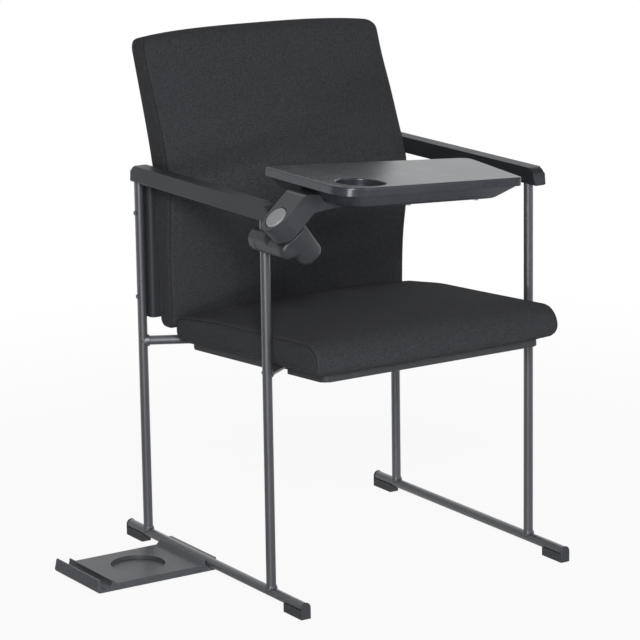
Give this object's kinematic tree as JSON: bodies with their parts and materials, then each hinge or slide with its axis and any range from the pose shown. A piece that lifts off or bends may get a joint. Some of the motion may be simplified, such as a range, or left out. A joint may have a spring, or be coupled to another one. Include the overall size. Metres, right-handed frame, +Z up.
{
  "type": "visitor chair",
  "caption": "Visitor chair with round-tube side frames, padded seat and back, armrests, a folding writing tablet with cup recess, and a row link plate.",
  "frame": {"origin": "on the floor, midway between the four uprights", "axes": "+X to the sitter's left, -Y to the front, +Z up"},
  "size_m": [0.7424, 0.6465, 0.8756],
  "materials": {
    "frame_coat": "satin graphite powder coat",
    "foot_plastic": "matte black",
    "arm_plastic": "fine grained charcoal",
    "tablet_plastic": "satin near-black",
    "pan_plastic": "fine grained dark grey",
    "link_plastic": "satin dark grey",
    "cap_plastic": "satin light grey",
    "upholstery": "woven charcoal cloth over foam",
    "plywood": "bare plywood",
    "steel": "plain zinc-plated steel"
  },
  "bodies": {
    "chair": {"armrest_left": "arm_plastic", "armrest_right": "arm_plastic", "back_bracket_left": "frame_coat", "back_bracket_right": "frame_coat", "back_cushion": "upholstery", "back_panel": "upholstery", "back_screw_1": "steel", "back_screw_2": "steel", "back_screw_3": "steel", "back_screw_4": "steel", "bracket_screw_1": "frame_coat", "bracket_screw_2": "frame_coat", "bracket_screw_3": "frame_coat", "bracket_screw_4": "frame_coat", "clamp_body": "arm_plastic", "clamp_bolt_1": "steel", "clamp_bolt_2": "steel", "clamp_rear": "arm_plastic", "cross_tube_front_right": "frame_coat", "cross_tube_rear_left": "frame_coat", "cross_tube_through": "frame_coat", "disc_spring": "steel", "foot_front_left": "foot_plastic", "foot_front_right": "foot_plastic", "foot_rear_left": "foot_plastic", "foot_rear_right": "foot_plastic", "friction_washer": "cap_plastic", "front_upright_left": "frame_coat", "front_upright_right": "frame_coat", "pan_screw_1": "steel", "pan_screw_2": "steel", "pan_screw_3": "steel", "pan_screw_4": "steel", "pivot_bolt": "steel", "rear_upright_left": "frame_coat", "rear_upright_right": "frame_coat", "runner_left": "frame_coat", "runner_right": "frame_coat", "seat_board": "plywood", "seat_cushion": "upholstery", "seat_pan": "pan_plastic", "seat_screw_1": "steel", "seat_screw_2": "steel", "seat_screw_3": "steel", "seat_screw_4": "steel"},
    "tablet": {"swing_arm": "arm_plastic", "pivot_cap": "cap_plastic", "tablet_top": "tablet_plastic", "tablet_base": "tablet_plastic", "arm_screw_1": "steel", "arm_screw_2": "steel", "arm_screw_3": "steel", "arm_screw_4": "steel", "tablet_screw_1": "steel", "tablet_screw_2": "steel", "tablet_screw_3": "steel", "tablet_screw_4": "steel"},
    "row_link": {"row_link_plate": "link_plastic"}
  },
  "joints": [
    {"name": "tablet_swing", "type": "hinge", "parent": "chair", "child": "tablet", "pos_m": [-0.277, -0.266, 0.65], "axis": [0.6794, 0, -0.7337], "range_deg": [0, 180]},
    {"name": "row_link_pivot", "type": "hinge", "parent": "chair", "child": "row_link", "pos_m": [-0.258, 0.068, 0.019], "axis": [0, 1, 0], "range_deg": [0, 180]}
  ]
}
